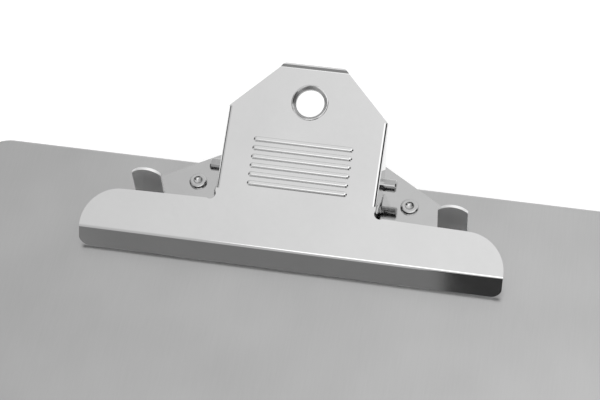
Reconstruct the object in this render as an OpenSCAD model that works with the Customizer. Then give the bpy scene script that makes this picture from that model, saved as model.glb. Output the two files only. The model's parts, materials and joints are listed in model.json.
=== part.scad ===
// Clipboard with a storage box: a shallow aluminium tray, a hinged lid that is the
// writing board, and a sprung steel paper clip riveted to the lid's rear end.
// The box lies flat, the clip is at +Y and the origin is under the tray's centre.

/* [Box] */
// Width of the closed box across the lid
box_w = 222; // [214:1:232]
// Length of the closed box along the hinge
box_l = 340; // [325:1:360]
// Height of the closed box from its underside to the writing face
box_h = 26; // [24:1:45]
// Outer radius of the lid's corners, seen from above
corner_r = 10; // [8:0.5:14]
// Clearance between the lid's rim and the tray wall inside it
lap_gap = 0.4; // [0.35:0.05:0.6]
// Clearance between the lid's underside and the tray's top edge
lid_seat_gap = 0.3; // [0.2:0.05:0.5]

/* [Lid] */
// Thickness of the lid's sheet
lid_sheet = 1.2; // [1:0.1:1.4]
// Depth of the lid's folded rim, writing face to lower edge
lid_rim = 9; // [9:0.5:11]
// Outer radius of the fold between writing face and rim
lid_fold_r = 2; // [1.6:0.1:2.2]

/* [Tray] */
// Thickness of the tray's sheet
tray_sheet = 1; // [0.8:0.1:1.2]
// Outer radius of the fold between tray floor and wall
tray_fold_r = 3; // [2:0.5:4]
// Gap between the rim and the lowered tray wall on the hinge side
hinge_seam = 0.4; // [0.3:0.1:0.6]

/* [Piano hinge] */
// Length of the hinge
hinge_l = 300; // [240:30:300]
// Distance from one knuckle to the next
knuckle_pitch = 15; // [10:5:30]
// Free space between neighbouring knuckles
knuckle_gap = 0.3; // [0.2:0.05:0.5]
// Thickness of the hinge leaves and of the rolled knuckles
leaf_sheet = 0.8; // [0.6:0.1:1]
// Diameter of the hinge pin
hinge_pin_d = 2; // [1.6:0.1:2.2]
// Running clearance around the hinge pin
hinge_pin_gap = 0.05; // [0.03:0.01:0.08]
// Diameter of the peened heads on the hinge pin
hinge_head_d = 3; // [2.6:0.1:3.4]
// Thickness of the peened heads on the hinge pin
hinge_head_t = 0.8; // [0.5:0.1:1]
// Gap between the knuckles and the box wall
barrel_gap = 0.3; // [0.25:0.05:0.5]
// Width of each leaf, pin axis to free edge
leaf_w = 7; // [6.4:0.1:7.1]
// Distance from the pin axis to the leaf's edge beside the other leaf's knuckles
leaf_notch = 2.4; // [2.2:0.1:2.6]
// Distance from the pin axis to the row of rivets
leaf_rivet_row = 4.8; // [4.6:0.1:5]
// Number of rivets in each leaf
leaf_rivets = 6; // [4:1:9]
// Distance from the leaf's end to its first rivet
leaf_rivet_end = 10; // [6:1:16]
// Shank diameter of the leaf rivets
leaf_rivet_d = 2; // [1.6:0.1:2.2]
// Head diameter of the leaf rivets
leaf_rivet_head_d = 3.6; // [3:0.1:3.8]
// Head height of the leaf rivets
leaf_rivet_head_t = 0.9; // [0.6:0.1:1]
// Diameter of the flattened inner rivet end
leaf_rivet_tail_d = 3.2; // [2.8:0.1:3.6]
// Thickness of the flattened inner rivet end
leaf_rivet_tail_t = 0.6; // [0.4:0.1:0.8]

/* [Snap latch] */
// Distance of the latch stud below the writing face
latch_drop = 5; // [4.8:0.1:5.2]
// Diameter of the latch stud
latch_stud_d = 4.4; // [3.6:0.1:4.6]
// Clearance around the stud in wall and rim
latch_stud_gap = 0.4; // [0.3:0.05:0.5]
// Depth of the stud's tip below the rim's outer face
latch_stud_recess = 0.3; // [0.1:0.05:0.5]
// Height of the stud's rounded tip
latch_stud_dome = 1; // [0.6:0.1:1.2]
// Thickness of the latch's leaf spring
latch_leaf_t = 0.5; // [0.4:0.1:0.8]
// Width of the leaf spring
latch_leaf_w = 6; // [5.4:0.1:6.2]
// Length of the leaf spring
latch_leaf_l = 42; // [36:1:60]
// Distance from the leaf spring's free end to the stud
latch_stud_end = 4; // [3.4:0.1:6]
// Distance between the leaf spring's two rivets
latch_rivet_pitch = 8; // [6:0.5:10]
// Distance from the leaf spring's fixed end to its last rivet
latch_rivet_end = 3.5; // [3:0.1:5]
// Shank diameter of the latch rivets
latch_rivet_d = 2; // [1.6:0.1:2.2]
// Head diameter of the latch rivets
latch_rivet_head_d = 3.6; // [3:0.1:4]
// Head height of the latch rivets
latch_rivet_head_t = 0.8; // [0.6:0.1:1]
// Diameter of the stud's neck through the leaf spring
latch_neck_d = 2.2; // [1.8:0.1:2.4]
// Clearance around that neck
latch_neck_gap = 0.03; // [0.02:0.01:0.05]
// Diameter of the stud's riveted end behind the leaf spring
latch_tail_d = 3.2; // [2.8:0.1:3.6]
// Thickness of the stud's riveted end
latch_tail_t = 0.5; // [0.4:0.1:0.8]

/* [Clip base] */
// Distance from the lid's rear edge to the jaw's bend line
clip_inset = 35.5; // [34:0.5:50]
// Thickness of the base's sheet
base_sheet = 1; // [0.9:0.1:1.4]
// Distance from the jaw's bend line to the faces of the stop tabs
stop_line = 19.3; // [18.5:0.1:20]
// Distance from the centre line to the inner side of a stop tab
tab_in = 45; // [42:0.5:52]
// Width of a stop tab
tab_w = 9.5; // [8:0.5:12]
// Height of a stop tab at its sides above the lid
tab_side_h = 11.8; // [9:0.1:13]
// Height of a stop tab at the middle of its arched top
tab_top_h = 14.2; // [13.2:0.1:16]
// Outer radius of the bend under a stop tab
tab_bend_r = 2.2; // [2:0.1:3]
// Depth of a wing at its outer end
wing_tip_depth = 3; // [2.6:0.1:4]
// Depth of the base at the lever
wing_root_depth = 22.2; // [20:0.1:24]
// Radius of the ears around the pivot pin
ear_r = 5; // [4.4:0.1:5.4]
// Outer radius of the bend under an ear
ear_bend_r = 2; // [1.8:0.1:2.4]
// Length of an ear at its foot
ear_foot = 13; // [11:0.5:14]
// Width of the window that an ear is cut and bent up from
ear_window_w = 14; // [13:0.5:16]
// Relief at both ends of an ear's foot
ear_relief = 0.5; // [0.4:0.1:0.8]

/* [Clip lever] */
// Thickness of the lever's sheet
lever_sheet = 1; // [0.8:0.1:1.2]
// Slope of the lever above the writing face, in degrees
lever_tilt = 22.5; // [20:0.5:25]
// Height of the jaw's bend line above the writing face
bend_h = 7; // [6.6:0.1:7.6]
// Width of the jaw
jaw_w = 136; // [124:1:140]
// Radius of the jaw's round ends
jaw_end_r = 12.5; // [10:0.5:12.9]
// Depth of the jaw where its round ends start
jaw_end_depth = 13.4; // [13:0.1:14]
// Depth of the jaw beside the lever
jaw_root_depth = 14; // [13.6:0.1:15]
// Slope of the jaw's front lip, in degrees
lip_slope = 60.5; // [55:0.5:66]
// Clearance between the lip's edge and the writing face
lip_gap = 0.5; // [0.3:0.1:0.8]
// Radius of the lip's lower corners
lip_corner_r = 3.6; // [2.5:0.1:4]
// Outer radius of the bend between jaw and lip
lip_bend_r = 1.6; // [1.4:0.1:2]
// Width of the lever
lever_w = 51.7; // [48:0.1:54]
// Distance from the bend line to the lever's shoulders
shoulder_s = 44.9; // [42:0.1:47]
// Distance from the bend line to the fold of the finger lip
fold_s = 60.1; // [57:0.1:62]
// Width of the lever at that fold
fold_w = 21.5; // [19.5:0.5:26]
// Length of the finger lip
finger_lip_l = 1.5; // [1.4:0.1:3]
// Width of the finger lip at its edge
finger_lip_w = 19.2; // [16:0.1:20]
// Angle by which the finger lip is bent up, in degrees
finger_lip_turn = 45; // [30:1:60]
// Outer radius of the finger lip's bend
finger_bend_r = 1.6; // [1.4:0.1:2]
// Distance from the bend line to the hang hole
hole_s = 48.8; // [47:0.1:50]
// Diameter of the hang hole
hole_d = 9.2; // [7:0.1:10]
// Width and depth of the hang hole's drawn-in edge
hole_flare = 0.8; // [0.6:0.05:1]
// Radius of the rounded ring that stands up around the hang hole
hole_ring_r = 0.4; // [0.35:0.05:0.6]
// Height of that ring above the lever's face
hole_ring_h = 0.2; // [0.1:0.05:0.25]
// Wall of the collar behind the hang hole
hole_wall = 0.9; // [0.7:0.05:1]
// Depth of the collar behind the hang hole
hole_collar = 2; // [1.8:0.1:3]
// Radius of the round relief between lever and jaw
relief_r = 1.8; // [1.4:0.1:2]
// Depth of that relief into the lever's side and the jaw's edge
relief_bite = 0.3; // [0.2:0.05:0.4]
// Distance from the jaw's edge to the start of the side flange
flange_start = 3.6; // [3.6:0.1:6]
// Outer radius of the bend between lever and side flange
flange_bend_r = 1.2; // [1.1:0.1:1.6]
// Radius of the side flange around the pivot pin
flange_r = 6; // [5:0.1:6.4]

/* [Grip ribs] */
// Number of grip ribs
rib_count = 6; // [3:1:6]
// Distance from the bend line to the uppermost rib
rib_first_s = 34.9; // [34:0.1:37]
// Distance from one rib to the next
rib_pitch = 2.9; // [2.4:0.1:3.1]
// Length of a rib
rib_l = 32.3; // [24:0.1:38]
// Width of a rib
rib_w = 1.8; // [1.4:0.1:2]
// Height of a rib above the lever's face
rib_h = 0.5; // [0.4:0.05:0.6]
// Radius of the groove behind a rib
rib_groove_r = 0.55; // [0.5:0.05:0.6]

/* [Pivot and springs] */
// Distance from the bend line to the pivot axis
pivot_y = 28.5; // [28:0.1:29]
// Height of the pivot axis above the writing face
pivot_h = 8.8; // [8.4:0.1:9.2]
// Diameter of the pivot pin
pivot_d = 4.1; // [3.5:0.1:4.4]
// Running clearance around the pivot pin
pivot_gap = 0.05; // [0.03:0.01:0.08]
// Length of the pivot pin
pivot_l = 61; // [58:0.5:66]
// Chamfer at the pivot pin's ends
pivot_chamfer = 0.4; // [0.2:0.1:0.6]
// Clearance between ear and side flange
ear_gap = 0.35; // [0.25:0.05:0.5]
// Wire diameter of the torsion springs
wire_d = 1.6; // [1.4:0.1:1.7]
// Mean radius of the spring coils
coil_r = 3.5; // [3.3:0.1:3.7]
// Whole turns in each spring, counted past the legs
coil_turns = 5; // [3:1:6]
// Free space between neighbouring turns
coil_gap = 0.5; // [0.45:0.05:0.7]
// Clearance at the spring's legs and beside the ear
spring_gap = 0.25; // [0.15:0.05:0.3]
// Length of each spring leg
leg_l = 9; // [7:0.5:10]

/* [Clip rivets] */
// Distance between the two clip rivets
clip_rivet_span = 70; // [66:1:76]
// Distance from the stop tabs' faces to the rivet axes
clip_rivet_setback = 7; // [6:0.1:8]
// Shank diameter of the clip rivets
clip_rivet_d = 4; // [3.4:0.1:4.4]
// Head diameter of the clip rivets
clip_rivet_head_d = 5.9; // [5.4:0.1:6.6]
// Head height of the clip rivets
clip_rivet_head_t = 1.05; // [0.9:0.05:1.2]
// Radius of the rounded edge on a rivet head
clip_rivet_round = 0.75; // [0.6:0.05:0.8]
// Radius of the dimple in a rivet head
clip_rivet_dimple_r = 1.5; // [1.2:0.05:1.5]
// Depth of the dimple in a rivet head
clip_rivet_dimple_t = 0.8; // [0.5:0.05:0.8]
// Outer diameter of the washers under the lid
washer_d = 9; // [8:0.5:11]
// Thickness of the washers under the lid
washer_t = 0.8; // [0.6:0.1:1]
// Thickness of the rolled rivet ends under the washers
clip_rivet_tail_t = 1; // [0.8:0.1:1.2]

/* [Hidden] */

// Faces around a circle
fine = 96;
small = 48;
// Overrun of every cut
over = 1;
// Share of the lip's corner radius inside the jaw's side, which the corner meets at an angle
lip_corner_share = 0.95;

// Box: half sizes, lap joint and seam
half_w = box_w / 2;
half_l = box_l / 2;
rim_low = box_h - lid_rim;
lid_under = box_h - lid_sheet;
lap = lid_sheet + lap_gap;
tray_right = half_w - lap;
tray_end = half_l - lap;
tray_corner_r = corner_r - lap;
tray_top = lid_under - lid_seat_gap;
tray_step = rim_low - hinge_seam;

// Hinge: axis, bore and barrel
hinge_z = rim_low - hinge_seam / 2;
bore_r = hinge_pin_d / 2 + hinge_pin_gap;
barrel_r = bore_r + leaf_sheet;
hinge_x = -half_w - barrel_gap - barrel_r;
knuckles = floor(hinge_l / knuckle_pitch);
rivet_step = (hinge_l - 2 * leaf_rivet_end) / (leaf_rivets - 1);

// Latch: stud and leaf spring on the tray's right wall
latch_z = box_h - latch_drop;
wall_in = tray_right - tray_sheet;
latch_hole_r = latch_stud_d / 2 + latch_stud_gap;
latch_tip = half_w - latch_stud_recess;

// Clip: places measured from the jaw's bend line on the writing face
bend_y = half_l - clip_inset;
lever_half = lever_w / 2;
flange_in = lever_half - lever_sheet;
ear_out = flange_in - ear_gap;
ear_in = ear_out - base_sheet;
base_half = tab_in + tab_w;
clip_rivet_y = stop_line + clip_rivet_setback;
pivot_bore_r = pivot_d / 2 + pivot_gap;

// Lever: pivot in the lever's own plane, bends and lip
pivot_s = pivot_y * cos(lever_tilt) + (pivot_h - bend_h) * sin(lever_tilt);
pivot_n = (pivot_h - bend_h) * cos(lever_tilt) - pivot_y * sin(lever_tilt);
lip_turn = lip_slope - lever_tilt;
lip_run = lip_bend_r * tan(lip_turn / 2);
lip_l = (bend_h - lip_gap - lever_sheet * cos(lip_slope)) / sin(lip_slope);
finger_run = finger_bend_r * tan(finger_lip_turn / 2);
flange_low = jaw_root_depth + flange_start;
relief_x = lever_half + relief_r - relief_bite;
relief_y = jaw_root_depth + relief_r - relief_bite;
rib_r = (rib_w * rib_w / 4 + rib_h * rib_h) / (2 * rib_h);
tab_arch = tab_top_h - tab_side_h;
tab_arch_r = (tab_w * tab_w / 4 + tab_arch * tab_arch) / (2 * tab_arch);
hang_r = hole_d / 2;

// Spring: leg slopes that let each leg end on its seat
coil_pitch = wire_d + coil_gap;
lower_drop = pivot_h - base_sheet - wire_d / 2 - spring_gap - coil_r;
upper_rise = -pivot_n - lever_sheet - wire_d / 2 - spring_gap - coil_r;
lower_slope = asin(lower_drop / leg_l);
upper_slope = asin(upper_rise / leg_l);
wind_from = -90 - lower_slope;
wind_to = 90 + lever_tilt + upper_slope - 360 * (coil_turns + 1);
wind_step_share = 1 / 12;
wind_steps = ceil((wind_from - wind_to) / (360 * wind_step_share));
coil_start = ear_in - spring_gap - wire_d / 2;
wire_sides = 8;

// Point where the tangent from p touches the circle at c; side is 1 or -1
function touch(p, c, r, side) =
    let (d = c - p, far = norm(d), a = atan2(d[1], d[0]), b = asin(r / far))
    p + sqrt(far * far - r * r) * [cos(a + side * b), sin(a + side * b)];

// Point on the spring's coil, i steps along its winding
function coil_point(i) =
    let (a = wind_from + (wind_to - wind_from) * i / wind_steps)
    [
        coil_start - coil_pitch * (wind_from - a) / 360,
        pivot_y + coil_r * cos(a),
        pivot_h + coil_r * sin(a)
    ];

// Free end of a leg that leaves the coil at point p in direction a
function leg_tip(p, a) = p + leg_l * [0, cos(a), sin(a)];

spring_path = concat(
    [leg_tip(coil_point(0), -lower_slope)],
    [for (i = [0 : wind_steps]) coil_point(i)],
    [leg_tip(coil_point(wind_steps), lever_tilt + upper_slope)]
);
path_last = len(spring_path) - 1;

// Least free space between two turns, measured on the path's points
one_turn = round(1 / wind_step_share);
least_gap = min([
    for (i = [1 : path_last - 1 - one_turn])
        for (j = [-1 : 1])
            norm(spring_path[i] - spring_path[min(path_last - 1, i + one_turn + j)])
]) - wire_d;
echo(least_free_space_between_spring_turns = least_gap);

// Closed outline from its right half, bottom to top
function both_sides(p) = concat(p, [for (i = [len(p) - 1 : -1 : 0]) [-p[i][0], p[i][1]]]);

// Sheet folded down by a, in profile: the first leg lies under y = 0 and points to -x,
// the second one points down; x = 0 where the outer faces would meet
module fold(r, sheet, a, leg_1, leg_2) {
    translate([-r * tan(a / 2), -r]) difference() {
        fold_side(r, a, leg_1, leg_2, 0);
        fold_side(r - sheet, a, leg_1 + sheet, leg_2 + sheet, sheet);
    }
}

// Everything behind one side of a folded sheet, down to a depth behind the bend's axis
module fold_side(r, a, leg_1, leg_2, deep) {
    out = 2 * r;
    along = [cos(a), -sin(a)];
    face = [sin(a), cos(a)];
    difference() {
        polygon([
            [-leg_1, -deep],
            [-leg_1, r],
            [r * tan(a / 2), r],
            r * face + leg_2 * along,
            leg_2 * along - deep * face
        ]);
        difference() {
            polygon([[0, 0], [0, out], [out * tan(a / 2), out], out * face]);
            circle(r, $fn = small);
        }
    }
}

// Rounded rectangle as a flat sheet
module rounded_sheet(x0, x1, y0, y1, r, t) {
    linear_extrude(t) {
        translate([x0, y0 + r]) square([x1 - x0, y1 - y0 - 2 * r]);
        translate([x0 + r, y0]) square([x1 - x0 - 2 * r, y1 - y0]);
        for (x = [x0 + r, x1 - r])
            for (y = [y0 + r, y1 - r])
                translate([x, y]) circle(r, $fn = fine);
    }
}

// Runs a wall profile round a rounded rectangle; x = 0 is the outer face
module around(x0, x1, y0, y1, r) {
    corners = [[x1 - r, y1 - r], [x0 + r, y1 - r], [x0 + r, y0 + r], [x1 - r, y0 + r]];
    for (i = [0 : 3])
        translate(corners[i]) rotate([0, 0, 90 * i])
            rotate_extrude(angle = 90, $fn = fine) translate([r, 0]) children();
    translate([x1, y1 - r, 0]) rotate([90, 0, 0])
        linear_extrude(y1 - y0 - 2 * r) children();
    translate([x0, y0 + r, 0]) rotate([0, 0, 180]) rotate([90, 0, 0])
        linear_extrude(y1 - y0 - 2 * r) children();
    translate([x0 + r, y1, 0]) rotate([0, 0, 90]) rotate([90, 0, 0])
        linear_extrude(x1 - x0 - 2 * r) children();
    translate([x1 - r, y0, 0]) rotate([0, 0, 270]) rotate([90, 0, 0])
        linear_extrude(x1 - x0 - 2 * r) children();
}

// Places children at each leaf rivet's axis, z along +X
module at_leaf_rivets(z) {
    for (i = [0 : leaf_rivets - 1])
        translate([-half_w, -hinge_l / 2 + leaf_rivet_end + i * rivet_step, z])
            rotate([0, 90, 0]) children();
}

// Places children at each latch rivet's axis, z along +X from the wall's inner face
module at_latch_rivets() {
    last = latch_leaf_l - latch_stud_end - latch_rivet_end;
    for (y = [last - latch_rivet_pitch, last])
        translate([wall_in, y, latch_z]) rotate([0, 90, 0]) children();
}

// Clip frame: origin on the writing face under the jaw's bend line
module at_clip() {
    translate([0, bend_y, box_h]) children();
}

// Lever frame: y up the lever, z out of its upper face
module on_lever() {
    translate([0, 0, bend_h]) rotate([lever_tilt, 0, 0]) children();
}

// Extrudes a profile drawn in the Y-Z plane along X, centred
module across(w) {
    translate([-w / 2, 0, 0]) rotate([90, 0, 90]) linear_extrude(w) children();
}

// Box: the open tray that holds the papers, folded from aluminium sheet
module tray() {
    color("#b4b5b6") difference() {
        union() {
            around(-half_w, tray_right, -tray_end, tray_end, tray_corner_r) {
                mirror([0, 1])
                    fold(tray_fold_r, tray_sheet, 90, tray_sheet, tray_top - tray_fold_r);
            }
            rounded_sheet(
                -half_w + tray_fold_r, tray_right - tray_fold_r,
                -tray_end + tray_fold_r, tray_end - tray_fold_r,
                tray_corner_r - tray_fold_r, tray_sheet
            );
        }
        translate([-half_w - over, -half_l, tray_step])
            cube([corner_r + over, box_l, box_h]);
        at_leaf_rivets(hinge_z - leaf_rivet_row)
            translate([0, 0, -over])
                cylinder(d = leaf_rivet_d, h = tray_sheet + 2 * over, $fn = small);
        translate([wall_in - over, 0, latch_z]) rotate([0, 90, 0])
            cylinder(r = latch_hole_r, h = tray_sheet + 2 * over, $fn = small);
        at_latch_rivets() latch_rivet_body(tray_sheet);
    }
}

// Box: the lid, whose upper face is the writing board
module lid() {
    color("#b6b7b8") difference() {
        union() {
            around(-half_w, half_w, -half_l, half_l, corner_r) {
                translate([0, box_h])
                    fold(lid_fold_r, lid_sheet, 90, lid_sheet, lid_rim - lid_fold_r);
            }
            translate([0, 0, lid_under]) rounded_sheet(
                -half_w + lid_fold_r, half_w - lid_fold_r,
                -half_l + lid_fold_r, half_l - lid_fold_r,
                corner_r - lid_fold_r, lid_sheet
            );
        }
        at_leaf_rivets(hinge_z + leaf_rivet_row)
            translate([0, 0, -over])
                cylinder(d = leaf_rivet_d, h = lid_sheet + 2 * over, $fn = small);
        translate([half_w - lid_sheet - over, 0, latch_z]) rotate([0, 90, 0])
            cylinder(r = latch_hole_r, h = lid_sheet + 2 * over, $fn = small);
        at_clip() for (side = [-1, 1])
            translate([side * clip_rivet_span / 2, clip_rivet_y, -lid_sheet - over])
                cylinder(d = clip_rivet_d, h = lid_sheet + 2 * over, $fn = small);
    }
}

// Hinge: one leaf with every second knuckle; up is 1 for the lid and -1 for the tray
module hinge_leaf(up, first) {
    difference() {
        union() {
            translate([0, -hinge_l / 2, 0])
                translate([-half_w - leaf_sheet, 0, up > 0 ? hinge_z : hinge_z - leaf_w])
                    cube([leaf_sheet, hinge_l, leaf_w]);
            for (i = [first : 2 : knuckles - 1])
                translate([hinge_x, -hinge_l / 2 + i * knuckle_pitch + knuckle_gap / 2, hinge_z])
                    rotate([-90, 0, 0])
                        cylinder(r = barrel_r, h = knuckle_pitch - knuckle_gap, $fn = small);
        }
        for (i = [1 - first : 2 : knuckles - 1])
            translate([
                hinge_x - barrel_r,
                -hinge_l / 2 + i * knuckle_pitch - knuckle_gap / 2,
                up > 0 ? hinge_z - over : hinge_z - leaf_notch
            ])
                cube([3 * barrel_r, knuckle_pitch + knuckle_gap, leaf_notch + over]);
        translate([hinge_x, -hinge_l / 2 - over, hinge_z]) rotate([-90, 0, 0])
            cylinder(r = bore_r, h = hinge_l + 2 * over, $fn = small);
        at_leaf_rivets(hinge_z + up * leaf_rivet_row)
            translate([0, 0, -leaf_sheet - over])
                cylinder(d = leaf_rivet_d, h = leaf_sheet + 2 * over, $fn = small);
    }
}

// Hinge: leaf riveted to the tray's lowered wall
module tray_hinge_leaf() {
    color("#c6c7c8") hinge_leaf(-1, 0);
}

// Hinge: leaf riveted to the lid's rim
module lid_hinge_leaf() {
    color("#c6c7c8") hinge_leaf(1, 1);
}

// Hinge: pin through all knuckles, peened at both ends
module hinge_pin() {
    color("#d0d1d2") translate([hinge_x, 0, hinge_z]) rotate([-90, 0, 0]) {
        translate([0, 0, -hinge_l / 2])
            cylinder(d = hinge_pin_d, h = hinge_l, $fn = small);
        for (side = [0, 1]) mirror([0, 0, side])
            translate([0, 0, hinge_l / 2])
                cylinder(d = hinge_head_d, h = hinge_head_t, $fn = small);
    }
}

// Hinge: row of round-headed rivets through a leaf and a wall
module leaf_rivets_at(z, wall) {
    at_leaf_rivets(z) {
        translate([0, 0, -leaf_sheet])
            cylinder(d = leaf_rivet_d, h = leaf_sheet + wall, $fn = small);
        translate([0, 0, wall])
            cylinder(d = leaf_rivet_tail_d, h = leaf_rivet_tail_t, $fn = small);
        translate([0, 0, -leaf_sheet]) mirror([0, 0, 1])
            round_head(leaf_rivet_head_d / 2, leaf_rivet_head_t);
    }
}

// Spherical rivet head of radius r and height t, standing on z = 0
module round_head(r, t) {
    ball = (r * r + t * t) / (2 * t);
    rotate_extrude($fn = small) intersection() {
        translate([0, t - ball]) circle(ball, $fn = fine);
        square([r, t]);
    }
}

// Hinge: rivets that hold the tray's leaf
module tray_hinge_rivets() {
    color("#bfc0c1") leaf_rivets_at(hinge_z - leaf_rivet_row, tray_sheet);
}

// Hinge: rivets that hold the lid's leaf
module lid_hinge_rivets() {
    color("#bfc0c1") leaf_rivets_at(hinge_z + leaf_rivet_row, lid_sheet);
}

// Latch: spring-steel leaf on the inside of the tray's right wall
module latch_spring() {
    color("#9c9ea0") difference() {
        translate([wall_in - latch_leaf_t, -latch_stud_end, latch_z - latch_leaf_w / 2])
            cube([latch_leaf_t, latch_leaf_l, latch_leaf_w]);
        translate([wall_in - latch_leaf_t - over, 0, latch_z]) rotate([0, 90, 0])
            cylinder(r = latch_neck_d / 2 + latch_neck_gap, h = latch_leaf_t + 2 * over, $fn = small);
        at_latch_rivets() translate([0, 0, -latch_leaf_t - over])
            cylinder(d = latch_rivet_d, h = latch_leaf_t + 2 * over, $fn = small);
    }
}

// Latch: round-nosed stud that snaps through the tray wall into the lid's rim
module latch_stud() {
    nose = latch_tip - wall_in - latch_stud_dome;
    color("#cfd0d1") translate([wall_in, 0, latch_z]) rotate([0, 90, 0]) {
        cylinder(d = latch_stud_d, h = nose, $fn = small);
        translate([0, 0, nose]) round_head(latch_stud_d / 2, latch_stud_dome);
        translate([0, 0, -latch_leaf_t])
            cylinder(d = latch_neck_d, h = latch_leaf_t, $fn = small);
        translate([0, 0, -latch_leaf_t]) mirror([0, 0, 1])
            cylinder(d = latch_tail_d, h = latch_tail_t, $fn = small);
    }
}

// Latch: countersunk body of a rivet in a wall of the given thickness
module latch_rivet_body(wall) {
    cylinder(d = latch_rivet_d, h = wall, $fn = small);
    translate([0, 0, wall / 2]) cylinder(
        d1 = latch_rivet_d, d2 = latch_rivet_head_d, h = wall / 2, $fn = small
    );
}

// Latch: two rivets, flush outside so that the lid's rim passes them
module latch_rivets() {
    color("#bfc0c1") at_latch_rivets() {
        latch_rivet_body(tray_sheet);
        translate([0, 0, -latch_leaf_t])
            cylinder(d = latch_rivet_d, h = latch_leaf_t, $fn = small);
        translate([0, 0, -latch_leaf_t]) mirror([0, 0, 1])
            round_head(latch_rivet_head_d / 2, latch_rivet_head_t);
    }
}

// Clip base: flat outline with its two wings and the windows beside the ears
module base_outline() {
    front = stop_line;
    window_out = ear_in + ear_bend_r;
    window_l = ear_foot + 2 * ear_relief;
    difference() {
        polygon(both_sides([
            [tab_in, front],
            [tab_in, front + tab_bend_r],
            [base_half, front + tab_bend_r],
            [base_half, front + wing_tip_depth],
            [ear_out, front + wing_root_depth]
        ]));
        for (side = [0, 1]) mirror([side, 0])
            translate([window_out - ear_window_w, pivot_y - window_l / 2])
                square([ear_window_w, window_l]);
    }
}

// Clip base: stop tab bent up from the front edge of a wing
module stop_tab() {
    translate([tab_in + tab_w / 2, stop_line, 0]) intersection() {
        across(tab_w) rotate(180)
            fold(tab_bend_r, base_sheet, 90, wing_tip_depth - tab_bend_r, tab_top_h);
        translate([0, wing_tip_depth, 0]) rotate([90, 0, 0])
            linear_extrude(wing_tip_depth + over) {
                translate([-tab_w / 2, 0]) square([tab_w, tab_top_h - tab_arch_r]);
                intersection() {
                    translate([0, tab_top_h - tab_arch_r]) circle(tab_arch_r, $fn = fine);
                    translate([-tab_w / 2, 0]) square([tab_w, tab_top_h + over]);
                }
            }
    }
}

// Clip base: ear with the pivot bore, bent up beside the lever's flange
module ear() {
    c = [pivot_y, pivot_h];
    foot = [[pivot_y - ear_foot / 2, 0], [pivot_y + ear_foot / 2, 0]];
    intersection() {
        rotate([90, 0, 0]) mirror([0, 0, 1]) linear_extrude(pivot_y + ear_foot)
            translate([ear_in, 0]) rotate(180)
                fold(ear_bend_r, base_sheet, 90, base_sheet, pivot_h + ear_r);
        rotate([90, 0, 90]) linear_extrude(lever_w) {
            translate(c) circle(ear_r, $fn = fine);
            polygon([
                foot[0],
                foot[1],
                touch(foot[1], c, ear_r, -1),
                touch(foot[0], c, ear_r, 1)
            ]);
        }
    }
}

// Clip base: one pressing with wings, stop tabs and the two ears of the pivot
module clip_base() {
    color("#bcbdbe") at_clip() difference() {
        union() {
            linear_extrude(base_sheet) base_outline();
            for (side = [0, 1]) mirror([side, 0, 0]) {
                stop_tab();
                ear();
            }
        }
        for (side = [-1, 1])
            translate([side * clip_rivet_span / 2, clip_rivet_y, -over])
                cylinder(d = clip_rivet_d, h = base_sheet + 2 * over, $fn = small);
        translate([-lever_half, pivot_y, pivot_h]) rotate([0, 90, 0])
            cylinder(d = pivot_d, h = lever_w, $fn = small);
    }
}

// Lever: outline of the jaw seen square to its plate, with room for the lip in front
module jaw_outline() {
    end_x = jaw_w / 2 - jaw_end_r;
    end_y = jaw_end_depth - jaw_end_r;
    polygon(both_sides([
        [jaw_w / 2, -jaw_w],
        [jaw_w / 2, end_y],
        [end_x, jaw_end_depth],
        [lever_half, jaw_root_depth]
    ]));
    intersection() {
        for (side = [-1, 1])
            translate([side * end_x, end_y]) circle(jaw_end_r, $fn = fine);
        translate([-jaw_w / 2, -jaw_w]) square([jaw_w, jaw_w + jaw_end_depth]);
    }
}

// Lever: outline above the jaw, drawn in where the side flanges bend away
module lever_outline() {
    flat_half = lever_half - flange_bend_r;
    difference() {
        polygon(both_sides([
            [lever_half, 0],
            [lever_half, flange_low],
            [flat_half, flange_low],
            [flat_half, shoulder_s],
            [lever_half, shoulder_s],
            [fold_w / 2, fold_s],
            [finger_lip_w / 2, fold_s + finger_lip_l * cos(finger_lip_turn)]
        ]));
        translate([0, hole_s]) circle(hang_r + hole_flare, $fn = fine);
    }
}

// Lever: jaw plate and front lip with its round lower corners, folded from one sheet
module jaw() {
    corner_x = jaw_w / 2 - lip_corner_share * lip_corner_r;
    corner_y = lip_corner_r - lip_l;
    intersection() {
        mirror([0, 1, 0]) across(jaw_w)
            fold(lip_bend_r, lever_sheet, lip_turn, jaw_root_depth, lip_l);
        linear_extrude(jaw_w, center = true) jaw_outline();
        rotate([lip_turn, 0, 0]) linear_extrude(jaw_w, center = true) {
            translate([-jaw_w, corner_y]) square([2 * jaw_w, jaw_w]);
            translate([-corner_x, -lip_l]) square([2 * corner_x, lip_l]);
            for (side = [-1, 1])
                translate([side * corner_x, corner_y]) circle(lip_corner_r, $fn = fine);
        }
    }
}

// Lever: plate above the jaw and the finger lip bent up from its top
module lever_plate() {
    intersection() {
        translate([0, fold_s, -lever_sheet]) across(lever_w) mirror([0, 1])
            fold(
                finger_bend_r, lever_sheet, finger_lip_turn,
                fold_s - jaw_root_depth / 2, finger_lip_l - finger_run
            );
        linear_extrude(jaw_w, center = true) lever_outline();
    }
}

// Lever: side flange with its bend, cut to a lobe round the pivot
module side_flange() {
    c = [pivot_s, pivot_n];
    heel = [shoulder_s, -lever_sheet];
    toe = [flange_low, -lever_sheet];
    intersection() {
        rotate([90, 0, 0]) mirror([0, 0, 1]) linear_extrude(shoulder_s)
            translate([lever_half, 0])
                fold(flange_bend_r, lever_sheet, 90, lever_sheet, flange_r - pivot_n);
        rotate([90, 0, 90]) linear_extrude(lever_w) {
            translate(c) circle(flange_r, $fn = fine);
            polygon([
                [flange_low, 0],
                toe,
                touch(toe, c, flange_r, -1),
                touch(heel, c, flange_r, 1),
                heel,
                [shoulder_s, 0]
            ]);
        }
    }
}

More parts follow.
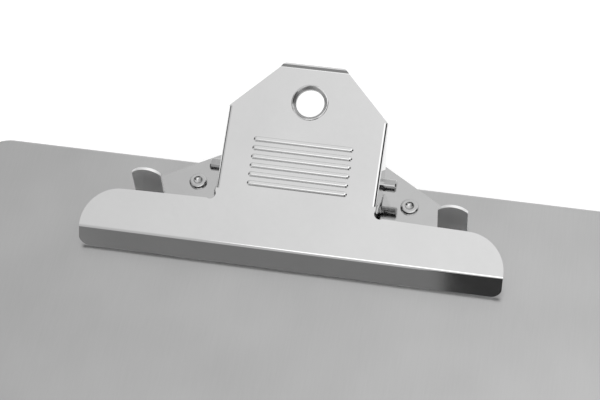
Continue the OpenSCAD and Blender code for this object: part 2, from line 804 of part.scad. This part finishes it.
// Lever: capsule along X, used for the ribs and the grooves behind them
module capsule(r, l) {
    translate([-l / 2, 0, 0]) rotate([0, 90, 0]) cylinder(r = r, h = l, $fn = small);
    for (x = [-l / 2, l / 2]) translate([x, 0, 0]) sphere(r, $fn = small);
}

// Lever: places children at every grip rib
module at_ribs(z) {
    for (i = [0 : rib_count - 1])
        translate([0, rib_first_s - i * rib_pitch, z]) children();
}

// Lever: hang hole with its raised ring, drawn-in edge and collar
module hole_collar_ring() {
    ring_x = hang_r + hole_flare + hole_ring_r / 2;
    reach = 2 * hole_flare;
    translate([0, hole_s, 0]) rotate_extrude($fn = fine) difference() {
        union() {
            translate([hang_r, -hole_collar]) square([hole_wall, hole_collar]);
            translate([hang_r, -lever_sheet])
                square([hole_flare + 2 * lever_sheet, lever_sheet]);
            intersection() {
                translate([ring_x, hole_ring_h - hole_ring_r]) circle(hole_ring_r, $fn = small);
                translate([hang_r, -lever_sheet / 2]) square([ring_x, lever_sheet]);
            }
        }
        polygon([
            [0, -hole_flare],
            [hang_r, -hole_flare],
            [hang_r + reach, reach - hole_flare],
            [0, reach - hole_flare]
        ]);
    }
}

// Lever: patches that fill the corners between lever and jaw, before the relief is cut
module relief_corners() {
    for (side = [0, 1]) mirror([side, 0, 0])
        translate([lever_half - over, jaw_root_depth - over, -lever_sheet])
            cube([relief_x - lever_half + over, relief_y - jaw_root_depth + over, lever_sheet]);
}

// Lever: one pressing with jaw, lip, side flanges, grip ribs and hang hole
module clip_lever() {
    groove_l = rib_l - rib_w;
    color("#d8d9da") at_clip() on_lever() difference() {
        union() {
            jaw();
            lever_plate();
            hole_collar_ring();
            relief_corners();
            for (side = [0, 1]) mirror([side, 0, 0]) side_flange();
            at_ribs(rib_h - rib_r) capsule(rib_r, groove_l);
        }
        at_ribs(-lever_sheet) capsule(rib_groove_r, groove_l);
        for (side = [-1, 1])
            translate([side * relief_x, relief_y, -lever_sheet - over])
                cylinder(r = relief_r, h = lever_sheet + 2 * over, $fn = small);
        translate([-lever_half - over, pivot_s, pivot_n]) rotate([0, 90, 0])
            cylinder(r = pivot_bore_r, h = lever_w + 2 * over, $fn = small);
    }
}

// Pivot: steel pin through the base's ears and the lever's flanges
module pivot_pin() {
    r = pivot_d / 2;
    color("#cdced0") at_clip() translate([0, pivot_y, pivot_h]) rotate([0, 90, 0]) {
        translate([0, 0, pivot_chamfer - pivot_l / 2])
            cylinder(r = r, h = pivot_l - 2 * pivot_chamfer, $fn = small);
        for (side = [0, 1]) mirror([0, 0, side])
            translate([0, 0, pivot_l / 2 - pivot_chamfer])
                cylinder(r1 = r, r2 = r - pivot_chamfer, h = pivot_chamfer, $fn = small);
    }
}

// Springs: ring of corner points of the wire, square to the path at point i
function wire_ring(i) =
    let (
        before = spring_path[max(0, i - 1)],
        after = spring_path[min(path_last, i + 1)],
        along = (after - before) / norm(after - before),
        cross_x = cross(along, [1, 0, 0]),
        u = cross_x / norm(cross_x),
        v = cross(along, u)
    )
    [
        for (k = [0 : wire_sides - 1])
            let (a = 360 * k / wire_sides)
            spring_path[i] + wire_d / 2 * (u * cos(a) + v * sin(a))
    ];

// Springs: the right-hand torsion spring as one unbroken wire
module torsion_spring() {
    points = [for (i = [0 : path_last]) each wire_ring(i)];
    n = wire_sides;
    sides = [
        for (i = [0 : path_last - 1])
            for (k = [0 : n - 1])
                let (a = i * n + k, b = i * n + (k + 1) % n)
                each [[a, b, a + n], [b, b + n, a + n]]
    ];
    first_cap = [for (k = [1 : n - 2]) [0, k + 1, k]];
    last_cap = [for (k = [1 : n - 2]) [path_last * n, path_last * n + k, path_last * n + k + 1]];
    polyhedron(points, concat(sides, first_cap, last_cap));
}

// Springs: on the pivot pin inside the right ear
module right_spring() {
    color("#8f9193") at_clip() torsion_spring();
}

// Springs: wound the other way inside the left ear
module left_spring() {
    color("#8f9193") at_clip() mirror([1, 0, 0]) torsion_spring();
}

// Clip rivets: tubular rivet with a rounded, dimpled head and a rolled end
module clip_rivet() {
    head_r = clip_rivet_head_d / 2;
    dimple_ball = (pow(clip_rivet_dimple_r, 2) + pow(clip_rivet_dimple_t, 2))
        / (2 * clip_rivet_dimple_t);
    low = lid_sheet + washer_t;
    tail_r = (clip_rivet_d + clip_rivet_head_d) / 4;
    at_clip() translate([clip_rivet_span / 2, clip_rivet_y, 0]) {
        translate([0, 0, base_sheet]) rotate_extrude($fn = fine) difference() {
            union() {
                square([head_r - clip_rivet_round, clip_rivet_head_t]);
                square([head_r, clip_rivet_head_t - clip_rivet_round]);
                translate([
                    head_r - clip_rivet_round,
                    clip_rivet_head_t - clip_rivet_round
                ]) circle(clip_rivet_round, $fn = small);
            }
            translate([0, clip_rivet_head_t - clip_rivet_dimple_t + dimple_ball])
                circle(dimple_ball, $fn = fine);
            translate([-over, -clip_rivet_head_d]) square([clip_rivet_head_d, clip_rivet_head_d]);
            translate([-clip_rivet_head_d, -over]) square([clip_rivet_head_d, clip_rivet_head_d]);
        }
        translate([0, 0, -low]) cylinder(d = clip_rivet_d, h = low + base_sheet, $fn = small);
        translate([0, 0, -low - clip_rivet_tail_t]) rotate_extrude($fn = fine) {
            square([tail_r, clip_rivet_tail_t]);
            translate([tail_r, clip_rivet_tail_t / 2]) circle(d = clip_rivet_tail_t, $fn = small);
        }
    }
}

// Clip rivets: right-hand one
module right_clip_rivet() {
    color("#c9cacb") clip_rivet();
}

// Clip rivets: left-hand one
module left_clip_rivet() {
    color("#c9cacb") mirror([1, 0, 0]) clip_rivet();
}

// Clip rivets: washer between the lid's underside and the rivet's rolled end
module rivet_washer() {
    at_clip() translate([clip_rivet_span / 2, clip_rivet_y, -lid_sheet - washer_t])
        difference() {
            cylinder(d = washer_d, h = washer_t, $fn = fine);
            translate([0, 0, -over])
                cylinder(d = clip_rivet_d, h = washer_t + 2 * over, $fn = small);
        }
}

// Clip rivets: right-hand washer
module right_rivet_washer() {
    color("#aaacae") rivet_washer();
}

// Clip rivets: left-hand washer
module left_rivet_washer() {
    color("#aaacae") mirror([1, 0, 0]) rivet_washer();
}

tray();
lid();
tray_hinge_leaf();
lid_hinge_leaf();
hinge_pin();
tray_hinge_rivets();
lid_hinge_rivets();
latch_spring();
latch_stud();
latch_rivets();
clip_base();
clip_lever();
pivot_pin();
left_spring();
right_spring();
left_clip_rivet();
right_clip_rivet();
left_rivet_washer();
right_rivet_washer();
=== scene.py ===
import math

import bmesh
import bpy
from mathutils import Matrix, Vector
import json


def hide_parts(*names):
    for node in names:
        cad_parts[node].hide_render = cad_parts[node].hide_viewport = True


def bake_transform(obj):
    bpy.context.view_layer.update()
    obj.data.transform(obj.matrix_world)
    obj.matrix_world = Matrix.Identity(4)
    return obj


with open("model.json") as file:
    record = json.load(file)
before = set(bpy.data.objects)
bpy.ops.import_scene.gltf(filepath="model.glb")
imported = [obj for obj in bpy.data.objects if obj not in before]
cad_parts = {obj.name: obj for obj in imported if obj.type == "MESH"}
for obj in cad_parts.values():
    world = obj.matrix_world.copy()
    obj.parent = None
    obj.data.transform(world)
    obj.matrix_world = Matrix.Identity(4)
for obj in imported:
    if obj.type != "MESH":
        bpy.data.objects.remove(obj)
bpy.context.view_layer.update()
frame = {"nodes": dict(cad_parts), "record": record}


# Camera: a long lens from above the jaw's right front, turned a little about its own axis,
# so that the clip fills the picture and the writing board runs out of it on both sides.
camera_yaw, camera_pitch, camera_roll = 8.406, 33.188, 7.166
camera_place = (0.0812, -0.1552, 0.4902)

camera = bpy.data.objects.new("camera", bpy.data.cameras.new("camera"))
camera.matrix_world = (
    Matrix.Translation(camera_place)
    @ Matrix.Rotation(math.radians(camera_pitch), 4, "X")
    @ Matrix.Rotation(math.radians(camera_yaw), 4, "Y")
    @ Matrix.Rotation(math.radians(camera_roll), 4, "Z")
)
camera.data.sensor_width = 36
camera.data.lens = 104.32
camera.data.shift_x = 0.01014
camera.data.shift_y = 0.04504
camera.data.clip_start, camera.data.clip_end = 0.02, 20
bpy.context.scene.collection.objects.link(camera)
bpy.context.scene.camera = camera


# Studio: a white floor under a pale dome, and two soft boxes overhead. What stands before
# the jaw is grey, on the right nearly black, and both sides are dark: bare metal mirrors it.
def put(tree, kind, settings=(), links=()):
    """Adds one node: settings are its properties and socket values, links its inputs."""
    made = tree.nodes.new(kind)
    for name, value in dict(settings).items():
        if isinstance(name, str) and hasattr(made, name):
            setattr(made, name, value)
        else:
            made.inputs[name].default_value = value
    for name, source in dict(links).items():
        tree.links.new(source, made.inputs[name])
    return made


def linear(colour):
    """A colour written as an sRGB hex value, as the linear numbers that a socket takes."""
    parts = [int(colour[i : i + 2], 16) / 255 for i in (1, 3, 5)]
    return [p / 12.92 if p <= 0.04045 else ((p + 0.055) / 1.055) ** 2.4 for p in parts] + [1]


world = bpy.data.worlds.new("studio")
bpy.context.scene.world = world
world.use_nodes = True
world_tree = world.node_tree
world_tree.nodes.clear()
way = put(world_tree, "ShaderNodeTexCoord").outputs["Generated"]


# A Mix node's sockets go by number: 0 is the share, 2 and 3 are its two plain values and 6
# and 7 its two colours. The plain result is output 0 and the colour is output 2.
def surroundings(colour, walls):
    """What stands around the box: each wall covers the ones before it.

    A wall is the direction of its middle, two cosines and its paint, a hex value or what
    another call made. It begins where a direction's cosine to the wall's middle is the
    first one, and it is full where that is the second.
    """
    for middle, begins, full, paint in walls:
        near = put(world_tree, "ShaderNodeVectorMath", {"operation": "DOT_PRODUCT", 1: middle},
                   {0: way})
        share = put(world_tree, "ShaderNodeMapRange",
                    {"interpolation_type": "SMOOTHSTEP", "From Min": begins, "From Max": full},
                    {"Value": near.outputs["Value"]})
        settings, links = {"data_type": "RGBA"}, {0: share.outputs["Result"]}
        for socket, value in ((6, colour), (7, paint)):
            if isinstance(value, str):
                settings[socket] = linear(value)
            else:
                links[socket] = value
        colour = put(world_tree, "ShaderNodeMix", settings, links).outputs[2]
    return colour


# Before the jaw: mid grey low down, paler above, and a dark edge on the right, where the
# lip's bend turns dark in one step.
before_jaw = surroundings("#808080", [
    ((0, 0, 1), 0.1, 0.24, "#cfcfcf"),
    ((0.8, -0.6, 0.12), 0.5530, 0.5572, "#383838"),
])
low_front = surroundings("#d8d8d8", [((0.12, -0.95, 0.28), 0.82, 0.9, before_jaw)])
# The whole room: white on the right of a pale dome, then the front, the right and the left.
room = surroundings("#dadada", [
    ((1, 0, 0), -0.5, 0.0, "#ffffff"),
    ((0, -0.92, -0.38), 0.0, 0.3, low_front),
    ((0.95, -0.1, 0.3), 0.85, 0.91, "#404040"),
    ((-0.97, 0.08, 0.2), 0.86, 0.94, "#606060"),
])
# The room lights the box and shows in its metal; the camera itself sees plain white.
studio = put(world_tree, "ShaderNodeBackground", {"Strength": 1.0}, {"Color": room})
backdrop = put(world_tree, "ShaderNodeBackground", {"Color": linear("#ffffff"), "Strength": 1.0})
path = put(world_tree, "ShaderNodeLightPath")
seen = put(world_tree, "ShaderNodeMixShader",
           links={0: path.outputs["Is Camera Ray"], 1: studio.outputs[0], 2: backdrop.outputs[0]})
put(world_tree, "ShaderNodeOutputWorld", links={"Surface": seen.outputs[0]})

# The floor lies a hair under the box, so that the two faces don't show through each other.
floor_half, floor_drop = 4, 0.0002
floor_mesh = bpy.data.meshes.new("floor")
floor_mesh.from_pydata(
    [(x * floor_half, y * floor_half, 0) for x, y in ((-1, -1), (1, -1), (1, 1), (-1, 1))],
    [], [(0, 1, 2, 3)],
)
floor = bpy.data.objects.new("floor", floor_mesh)
floor.location.z = -floor_drop
bpy.context.scene.collection.objects.link(floor)
# White matt paint: it takes the box's soft shadow. To a ray that looks straight at it, from
# the camera, a mirror or glass, a faint glow lifts it to white.
floor_colour, floor_glow = "#f2f2f2", 0.36
floor_paint = bpy.data.materials.new("white_studio_floor")
floor_paint.use_nodes = True
floor_tree = floor_paint.node_tree
floor_tree.nodes.clear()
path = put(floor_tree, "ShaderNodeLightPath")
looking = path.outputs["Is Camera Ray"]
for ray in ("Is Glossy Ray", "Is Transmission Ray"):
    looking = put(floor_tree, "ShaderNodeMath", {"operation": "MAXIMUM"},
                  {0: looking, 1: path.outputs[ray]}).outputs[0]
level = put(floor_tree, "ShaderNodeMath", {"operation": "MULTIPLY", 1: floor_glow}, {0: looking})
own = put(floor_tree, "ShaderNodeBsdfDiffuse", {"Color": linear(floor_colour)})
glow = put(floor_tree, "ShaderNodeEmission", {"Color": linear("#ffffff")},
           {"Strength": level.outputs[0]})
both = put(floor_tree, "ShaderNodeAddShader", links={0: own.outputs[0], 1: glow.outputs[0]})
put(floor_tree, "ShaderNodeOutputMaterial", links={"Surface": both.outputs[0]})
floor.data.materials.append(floor_paint)

# Both soft boxes hang over the floor and are turned to the middle of the clip.
clip_middle = Vector((0, 0.15, 0.03))
for name, place, size, power in (
    ("soft_box_over", (0.2, -0.45, 1.05), (0.9, 0.4), 1.1),
    ("soft_box_side", (0.4, 0.2, 1.1), (0.8, 0.7), 0.9),
):
    lamp = bpy.data.objects.new(name, bpy.data.lights.new(name, "AREA"))
    lamp.data.shape = "RECTANGLE"
    lamp.data.size, lamp.data.size_y = size
    lamp.data.energy = power
    lamp.location = place
    lamp.rotation_euler = (clip_middle - lamp.location).to_track_quat("-Z", "Y").to_euler()
    bpy.context.scene.collection.objects.link(lamp)


# Tray: the lower half of the box, pressed and folded from 1 mm aluminium sheet, with
# rounded corners. It is satin anodised all over, before its hinge and latch are riveted on.
def dress(names, finish):
    """Gives these CAD nodes one finish."""
    for name in names:
        slots = frame["nodes"][name].data.materials
        slots.clear()
        slots.append(finish)


def metal(name, pale, deep, rough, rougher, grain, grain_depth, cloud):
    """Bare metal: two close shades that drift over the surface, and a grain of a real size.

    rough is the roughness where the deep shade is full and rougher where the pale one is.
    grain is the three sizes of one grain, grain_depth its depth and cloud the size of a
    drift, all in millimetres, which 1000 turns to metres.
    """
    grain_share = 0.3
    noise_span = {"From Min": 0.3, "From Max": 0.7}
    made = bpy.data.materials.new(name)
    made.use_nodes = True
    tree = made.node_tree
    shader = tree.nodes["Principled BSDF"]
    shader.inputs["Metallic"].default_value = 1
    here = put(tree, "ShaderNodeTexCoord").outputs["Object"]
    fine = put(tree, "ShaderNodeMapping", {"Scale": [1000 / g for g in grain]}, {"Vector": here})
    fine = put(tree, "ShaderNodeTexNoise", {"Scale": 1, "Detail": 3, "Roughness": 0.6},
               {"Vector": fine.outputs["Vector"]})
    slow = put(tree, "ShaderNodeTexNoise",
               {"Scale": 1000 / cloud, "Detail": 2, "Roughness": 0.5}, {"Vector": here})
    both = put(tree, "ShaderNodeMix", {"data_type": "FLOAT", 0: grain_share},
               {2: slow.outputs["Fac"], 3: fine.outputs["Fac"]}).outputs[0]
    share = put(tree, "ShaderNodeMapRange", noise_span, {"Value": both})
    shade = put(tree, "ShaderNodeMix", {"data_type": "RGBA", 6: linear(deep), 7: linear(pale)},
                {0: share.outputs["Result"]})
    tree.links.new(shade.outputs[2], shader.inputs["Base Color"])
    dull = put(tree, "ShaderNodeMapRange", {**noise_span, "To Min": rough, "To Max": rougher},
               {"Value": both})
    tree.links.new(dull.outputs["Result"], shader.inputs["Roughness"])
    bump = put(tree, "ShaderNodeBump", {"Strength": 1.0, "Distance": grain_depth / 1000},
               {"Height": fine.outputs["Fac"]})
    tree.links.new(bump.outputs["Normal"], shader.inputs["Normal"])
    return made


# Etched and anodised aluminium: an even, soft grey sheen that mirrors nothing sharply. The
# rolling grain is about 0.05 mm wide, and is drawn at 0.35 mm so that it shows at all.
board_finish = metal(
    "satin_anodised_aluminium", pale="#bdbdbd", deep="#b4b4b4", rough=0.31, rougher=0.36,
    grain=(0.35, 9, 0.35), grain_depth=0.0012, cloud=30,
)
dress(["tray"], board_finish)


# Snap latch: a spring-steel leaf riveted inside the tray's right wall, which carries the
# turned stud that the lid's rim snaps over.
# Rolled spring steel: darker and bluer than the box, with fine lines along the strip, which
# are drawn at 0.4 mm so that they show.
spring_steel = metal(
    "blued_spring_steel", pale="#a8a9ab", deep="#909194", rough=0.22, rougher=0.32,
    grain=(0.4, 6, 0.4), grain_depth=0.001, cloud=8,
)
# Turned steel: bright, with tool marks that break up its highlights, drawn at 0.3 mm.
turned_steel = metal(
    "turned_steel", pale="#c6c6c6", deep="#b4b4b5", rough=0.16, rougher=0.26,
    grain=(0.3, 0.3, 0.3), grain_depth=0.001, cloud=5,
)
# Headed aluminium: soft highlights on a slightly hammered skin.
rivet_aluminium = metal(
    "headed_aluminium_rivet", pale="#cbcbcb", deep="#bdbebf", rough=0.24, rougher=0.36,
    grain=(0.6, 0.6, 0.6), grain_depth=0.002, cloud=4,
)
dress(["latch_spring"], spring_steel)
dress(["latch_stud"], turned_steel)
dress(["latch_rivets"], rivet_aluminium)


# Piano hinge: two leaves rolled round one steel pin along the left side, each fixed by six
# rivets. The leaves are plain aluminium strip, left a little brighter than the anodised box.
# Rolled strip: a cool mid grey with faint lines along its length, drawn at 0.35 mm.
leaf_aluminium = metal(
    "rolled_aluminium_strip", pale="#c4c5c5", deep="#b6b7b8", rough=0.26, rougher=0.34,
    grain=(0.35, 9, 0.35), grain_depth=0.0015, cloud=15,
)
dress(["tray_hinge_leaf", "lid_hinge_leaf"], leaf_aluminium)
dress(["hinge_pin"], turned_steel)
dress(["tray_hinge_rivets", "lid_hinge_rivets"], rivet_aluminium)


# Lid: the writing board, folded from 1.2 mm sheet with a rim all round. It has the tray's
# satin anodised finish and shows the clip over it as a soft darker patch.
dress(["lid"], board_finish)


# Clip base: one pressing of 1 mm steel with two wings, two stop tabs and two ears. The wings
# lie flat on the lid; the tabs and ears are bent up from them.
def duller(finish, where, rough, colour):
    """Gives a finish another roughness and colour where the share is 1."""
    tree = finish.node_tree
    shader = tree.nodes["Principled BSDF"]
    for name, kind, (before, after, result), value in (
        ("Roughness", "FLOAT", (2, 3, 0), rough),
        ("Base Color", "RGBA", (6, 7, 2), linear(colour)),
    ):
        mix = put(tree, "ShaderNodeMix", {"data_type": kind, after: value},
                  {0: where, before: shader.inputs[name].links[0].from_socket})
        tree.links.new(mix.outputs[result], shader.inputs[name])


# Polished nickel: a clean mirror, in which the pin's ends and the rivets show again.
base_finish = metal(
    "polished_nickel_plate", pale="#c3c3c3", deep="#bdbdbd", rough=0.06, rougher=0.11,
    grain=(3, 3, 3), grain_depth=0.0012, cloud=18,
)
# What is bent up, the stop tabs and ears, is satin and without a mirror. Its near-white colour is
# painted light, a painted sheen that lifts these upright faces.
# It begins 0.6 mm over the wings, which are at 27 mm, and is full at 29 mm.
satin_and_painted_sheen_begins, satin_and_painted_sheen_full = 0.0276, 0.029
base_tree = base_finish.node_tree
height = put(base_tree, "ShaderNodeSeparateXYZ",
             links={0: put(base_tree, "ShaderNodeTexCoord").outputs["Object"]}).outputs["Z"]
satin_and_painted_sheen = put(base_tree, "ShaderNodeMapRange", {"From Min": satin_and_painted_sheen_begins, "From Max": satin_and_painted_sheen_full},
              {"Value": height})
# The upright parts get roughness 0.55 and a painted near-white sheen in place of the mirrored
# nickel.
duller(base_finish, satin_and_painted_sheen.outputs["Result"], rough=0.55, colour="#f8f8f8")
dress(["clip_base"], base_finish)


# Clip rivets: two tubular rivets through the wings, with dished heads, each clenched over a
# steel washer under the lid.
# Plated and headed: a bright rim, a spot of light in the dish and a dark ring between them.
rivet_finish = metal(
    "dished_nickel_rivet", pale="#c6c6c6", deep="#b8b8b8", rough=0.14, rougher=0.22,
    grain=(0.8, 0.8, 0.8), grain_depth=0.002, cloud=3,
)
dress(["left_clip_rivet", "right_clip_rivet"], rivet_finish)
dress(["left_rivet_washer", "right_rivet_washer"], turned_steel)


# Pivot pin: a ground steel pin through both ears, whose chamfered ends stand out beside the
# lever's flanges.
# Ground steel: darker than the plated parts, with one sharp line of light along its top. The
# grinding marks run round the pin and are drawn at 0.12 mm.
pin_finish = metal(
    "ground_steel_pin", pale="#b2b2b2", deep="#a2a2a2", rough=0.07, rougher=0.14,
    grain=(0.12, 2, 2), grain_depth=0.0008, cloud=6,
)
dress(["pivot_pin"], pin_finish)


# Torsion springs: wound from 1.6 mm spring wire on the pivot pin, one inside each ear. One
# leg presses on the base, the other lifts the lever's underside and turns with it.
wire_mm, coil_mm, leg_mm = 1.6, 3.5, 9.0
turns, space_between_turns_mm, play_mm = 5, 0.5, 0.25
pitch_mm = wire_mm + space_between_turns_mm
ear_inside_mm = 23.5
coil_start_mm = ear_inside_mm - play_mm - wire_mm / 2
# The pin's middle, as y and z, and what it keeps of space over the base and, square to the
# leaning lever, under its 1 mm sheet. The lever's front bend is the corner of that slope.
pivot_mm = (163.0, 34.8)
over_base_mm = 7.8
lever_lean = 22.5
bend_before_pin_mm, bend_under_pin_mm, lever_sheet_mm = 28.5, 1.8, 1.0
under_lever_mm = (
    bend_before_pin_mm * math.sin(math.radians(lever_lean))
    - bend_under_pin_mm * math.cos(math.radians(lever_lean))
    - lever_sheet_mm
)


def leg_slope(space_mm):
    """How many degrees a leg leans towards a face with this much space to the pin."""
    return math.degrees(math.asin((space_mm - wire_mm / 2 - play_mm - coil_mm) / leg_mm))


leg_slopes = (-leg_slope(over_base_mm), lever_lean + leg_slope(under_lever_mm))
wind_from, wind_to = leg_slopes[0] - 90, leg_slopes[1] + 90 - 360 * (turns + 1)
# Drawn wire: a dark grey with a narrow light line along each turn.
wire_finish = metal(
    "drawn_spring_wire", pale="#b0b1b3", deep="#98999c", rough=0.2, rougher=0.3,
    grain=(2, 0.3, 0.3), grain_depth=0.001, cloud=4,
)


def spring_path(side):
    """Points along the wire's middle, in metres, from the lower leg's end to the upper's."""
    eighths_of_a_turn = int((wind_from - wind_to) / 45)
    steps = 8 * eighths_of_a_turn
    coil = []
    for i in range(steps + 1):
        a = wind_from + (wind_to - wind_from) * i / steps
        coil.append((
            coil_start_mm - pitch_mm * (wind_from - a) / 360,
            pivot_mm[0] + coil_mm * math.cos(math.radians(a)),
            pivot_mm[1] + coil_mm * math.sin(math.radians(a)),
        ))
    ends = []
    for place, slope in zip((coil[0], coil[-1]), leg_slopes):
        s = math.radians(slope)
        ends.append((place[0], place[1] + leg_mm * math.cos(s), place[2] + leg_mm * math.sin(s)))
    return [(side * x / 1000, y / 1000, z / 1000) for x, y, z in [ends[0], *coil, ends[1]]]


def wire_mesh(name, points, radius, sides=20):
    """A round wire along points, with its two cut ends slightly rounded."""
    mesh = bmesh.new()
    rounding = 0.18 * radius
    line = [Vector(p) for p in points]
    ways = [(after - before).normalized()
            for before, after in zip([line[0], *line[:-1]], [*line[1:], line[-1]])]
    stations = [
        (line[0], ways[0], radius - rounding),
        (line[0] + rounding * ways[0], ways[0], radius),
        *((place, along, radius) for place, along in zip(line[1:-1], ways[1:-1])),
        (line[-1] - rounding * ways[-1], ways[-1], radius),
        (line[-1], ways[-1], radius - rounding),
    ]
    pin_way = Vector((1, 0, 0))
    rings = []
    for place, along, reach in stations:
        u = along.cross(pin_way).normalized()
        v = along.cross(u)
        rings.append([
            mesh.verts.new(place + reach * (u * math.cos(a) + v * math.sin(a)))
            for a in (2 * math.pi * k / sides for k in range(sides))
        ])
    for low, high in zip(rings, rings[1:]):
        for k in range(sides):
            mesh.faces.new((low[k], low[(k + 1) % sides], high[(k + 1) % sides], high[k]))
    mesh.faces.new(reversed(rings[0]))
    mesh.faces.new(rings[-1])
    bmesh.ops.recalc_face_normals(mesh, faces=mesh.faces)
    data = bpy.data.meshes.new(name)
    mesh.to_mesh(data)
    mesh.free()
    for face in data.polygons:
        face.use_smooth = len(face.vertices) == 4
    made = bpy.data.objects.new(name, data)
    bpy.context.scene.collection.objects.link(made)
    return made


for side, name in ((-1, "left"), (1, "right")):
    points = spring_path(side)
    wire = wire_mesh(name + "_spring_wire", points, wire_mm / 2000)
    wire.data.materials.append(wire_finish)
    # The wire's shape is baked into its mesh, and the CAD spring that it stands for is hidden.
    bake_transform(wire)
    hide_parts(name + "_spring")


# Clip lever: one stamping of 1 mm steel with the jaw, its front lip, six pressed grip ribs,
# the drawn-in hang hole and the side flanges, turned on the pivot pin by the springs.
# Nickel plate over polished steel: pale and nearly a mirror, so its bends draw sharp lines.
lever_finish = metal(
    "bright_nickel_plate", pale="#dddddd", deep="#d8d8d8", rough=0.035, rougher=0.06,
    grain=(2.5, 2.5, 2.5), grain_depth=0.0006, cloud=22,
)
# The hang hole's edge is drawn in and dull. It is painted dark as painted shade for the shading
# of its drawn-in flank, up to 5.2 mm from the hole's axis, and gone at 5.6 mm.
dull_and_shaded_full, dull_and_shaded_ends = 0.0052, 0.0056
hang_hole = next(m for m in frame["record"]["mounts"] if m["name"] == "hang_hole")
lever_tree = lever_finish.node_tree
apart = put(lever_tree, "ShaderNodeVectorMath", {"operation": "SUBTRACT", 1: hang_hole["pos_m"]},
            {0: put(lever_tree, "ShaderNodeTexCoord").outputs["Object"]})
apart = put(lever_tree, "ShaderNodeVectorMath",
            {"operation": "CROSS_PRODUCT", 1: hang_hole["axis"]}, {0: apart.outputs["Vector"]})
apart = put(lever_tree, "ShaderNodeVectorMath", {"operation": "LENGTH"},
            {0: apart.outputs["Vector"]})
dull_and_shaded_ring = put(lever_tree, "ShaderNodeMapRange", {"From Min": dull_and_shaded_ends, "From Max": dull_and_shaded_full},
           {"Value": apart.outputs["Value"]})
# Painted shade: the ring round the hang hole is made darker, and also rougher.
duller(lever_finish, dull_and_shaded_ring.outputs["Result"], rough=0.36, colour="#b4b4b4")
dress(["clip_lever"], lever_finish)


# Settings: the view transform.
bpy.context.scene.view_settings.view_transform = "Standard"
